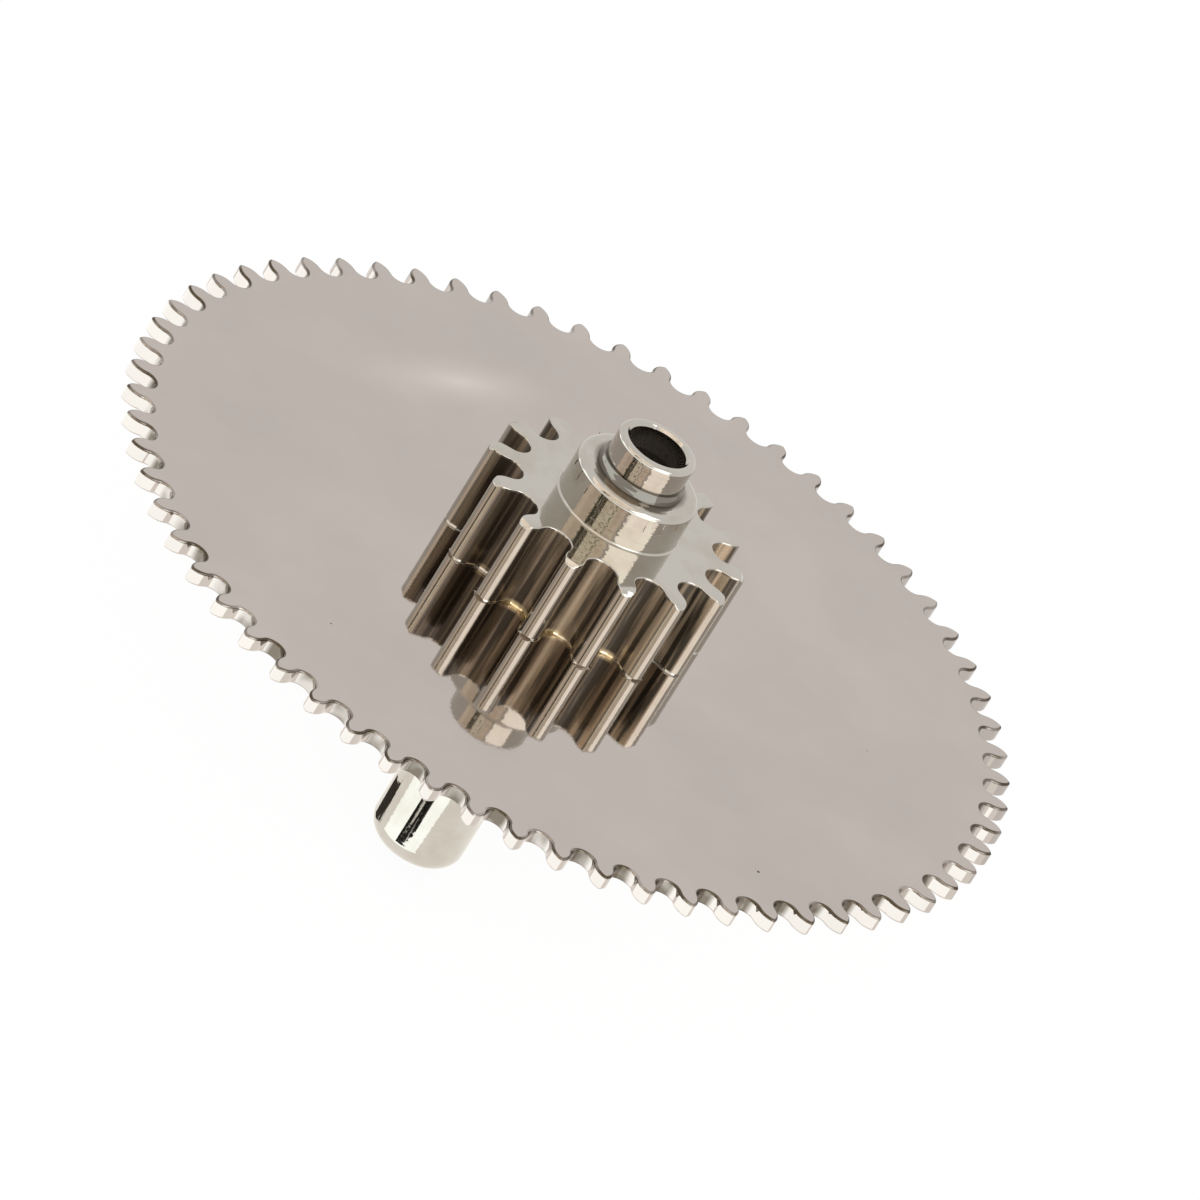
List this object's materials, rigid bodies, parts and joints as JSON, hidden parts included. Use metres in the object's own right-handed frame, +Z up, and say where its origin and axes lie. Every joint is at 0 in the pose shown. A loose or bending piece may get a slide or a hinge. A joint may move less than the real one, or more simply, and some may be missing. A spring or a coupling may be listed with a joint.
{
  "type": "watch center wheel",
  "caption": "Toothed solid disc riveted on a hollow steel center pinion with leaves, upper pivot tube and long lower arbor, lying on its rim and arbor end.",
  "frame": {"origin": "on the arbor's axis, at the centre of the disc's upper face", "axes": "+Z up from the surface it lies on, +X towards the teeth that touch that surface, +Y along the disc's level diameter; the arbor leans from +Z towards +X"},
  "size_m": [0.0057, 0.007, 0.0043],
  "materials": {
    "nickel_plate": "bright nickel plate over brass, mirror polished, slightly warm grey",
    "polished_steel": "hardened steel, turned and polished, with fine turning and cutting marks"
  },
  "bodies": {
    "root": {"wheel": "nickel_plate", "center_pinion": "polished_steel"}
  },
  "joints": []
}
